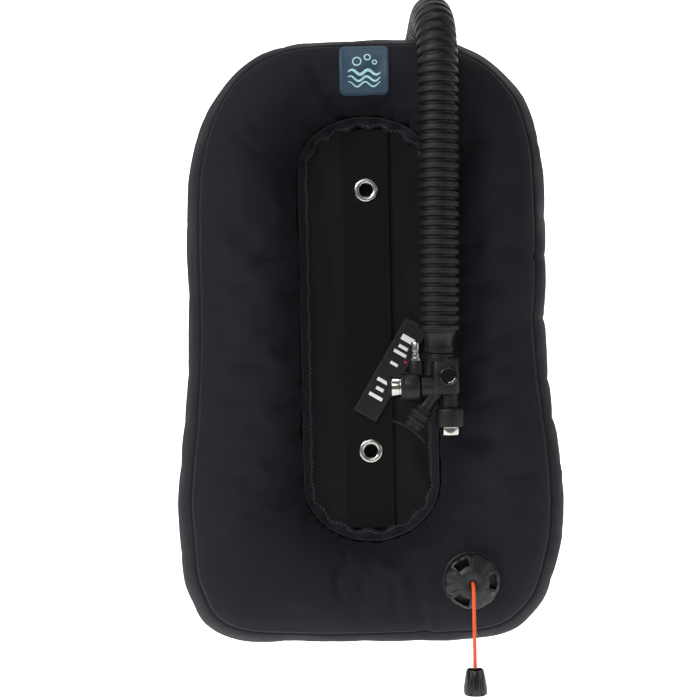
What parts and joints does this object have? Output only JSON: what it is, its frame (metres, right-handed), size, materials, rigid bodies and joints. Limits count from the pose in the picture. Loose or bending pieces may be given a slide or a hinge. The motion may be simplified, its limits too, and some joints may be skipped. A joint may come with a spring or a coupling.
{
  "type": "buoyancy compensator wing",
  "caption": "Inflated donut-shaped diving buoyancy wing with corrugated hose, power inflator, grommeted centre webbing and a dump valve with pull cord.",
  "frame": {"origin": "middle of the front face of the centre webbing, halfway between the two grommets", "axes": "+Z towards the diver's head, -Y towards the diver's back and the backplate, +X towards the diver's left"},
  "size_m": [0.4072, 0.1967, 0.7272],
  "materials": {
    "shell_fabric": "woven nylon, satin",
    "bladder_film": "welded film, satin",
    "webbing": "ribbed polyester webbing",
    "binding_tape": "grosgrain tape",
    "stainless": "polished",
    "chrome": "polished",
    "hose_rubber": "glossy moulded",
    "black_plastic": "moulded satin",
    "soft_rubber": "matte",
    "badge_rubber": "moulded matte",
    "pull_cord": "braided",
    "spring_steel": "drawn",
    "valve_plastic": "moulded satin"
  },
  "bodies": {
    "wing": {"front_panel": "shell_fabric", "back_panel": "shell_fabric", "outer_gusset": "shell_fabric", "centre_panel": "shell_fabric", "air_bladder": "bladder_film", "centre_webbing": "webbing", "front_hole_binding": "binding_tape", "rear_hole_binding": "binding_tape", "upper_grommet": "stainless", "upper_grommet_washer": "stainless", "lower_grommet": "stainless", "lower_grommet_washer": "stainless", "badge_patch": "badge_rubber", "tag_strap": "binding_tape", "access_zip": "binding_tape", "elbow": "black_plastic", "elbow_gasket": "soft_rubber", "elbow_ring_nut": "black_plastic", "upper_hose_cuff": "hose_rubber", "upper_hose_tie": "black_plastic", "hose_upper": "hose_rubber", "hose_bend": "hose_rubber", "dump_flange": "valve_plastic", "dump_gasket": "soft_rubber", "dump_ring_nut": "valve_plastic", "dump_cap": "valve_plastic", "dump_spring": "spring_steel", "pull_cord": "pull_cord"},
    "inflator": {"hose_lower": "hose_rubber", "lower_hose_cuff": "hose_rubber", "lower_hose_tie": "black_plastic", "inflator_body": "black_plastic", "inflator_disc": "black_plastic", "inflate_housing": "black_plastic", "quick_release_nipple": "stainless", "inflate_spring": "spring_steel", "deflate_housing": "black_plastic", "deflate_spring": "spring_steel", "mouthpiece": "soft_rubber"},
    "inflate_button": {"inflate_button": "chrome", "inflate_button_cap": "soft_rubber"},
    "deflate_button": {"deflate_button": "chrome", "deflate_seal": "soft_rubber"},
    "dump_poppet": {"dump_poppet": "valve_plastic", "dump_seal": "soft_rubber"},
    "pull_toggle": {"pull_toggle": "valve_plastic"},
    "zip_slider": {"zip_slider": "stainless"}
  },
  "joints": [
    {"name": "hose_raise", "type": "hinge", "parent": "wing", "child": "inflator", "pos_m": [0.0744, -0.073, 0.25], "axis": [-1, 0, 0], "range_deg": [0, 90], "deforming": ["hose_bend"]},
    {"name": "inflate_press", "type": "slide", "parent": "inflator", "child": "inflate_button", "axis": [1, 0, 0], "range_m": [0, 0.004], "stiffness_N_per_m": 800, "springref_m": -0.002, "deforming": ["inflate_spring"]},
    {"name": "deflate_press", "type": "slide", "parent": "inflator", "child": "deflate_button", "axis": [0, 0, 1], "range_m": [0, 0.004], "stiffness_N_per_m": 800, "springref_m": -0.002, "deforming": ["deflate_spring"]},
    {"name": "toggle_pull", "type": "slide", "parent": "wing", "child": "pull_toggle", "axis": [0, 0, -1], "range_m": [0, 0.005], "stiffness_N_per_m": 600, "springref_m": -0.005, "deforming": ["pull_cord"]},
    {"name": "poppet_lift", "type": "slide", "parent": "wing", "child": "dump_poppet", "axis": [0, -1, 0], "range_m": [0, 0.005], "deforming": ["dump_spring"]},
    {"name": "zip_slide", "type": "slide", "parent": "wing", "child": "zip_slider", "axis": [0.0207, 0.0116, -0.9997], "range_m": [0, 0.195]}
  ],
  "couplings": [
    {"joint": "poppet_lift", "follows": "toggle_pull", "ratio": 1}
  ]
}
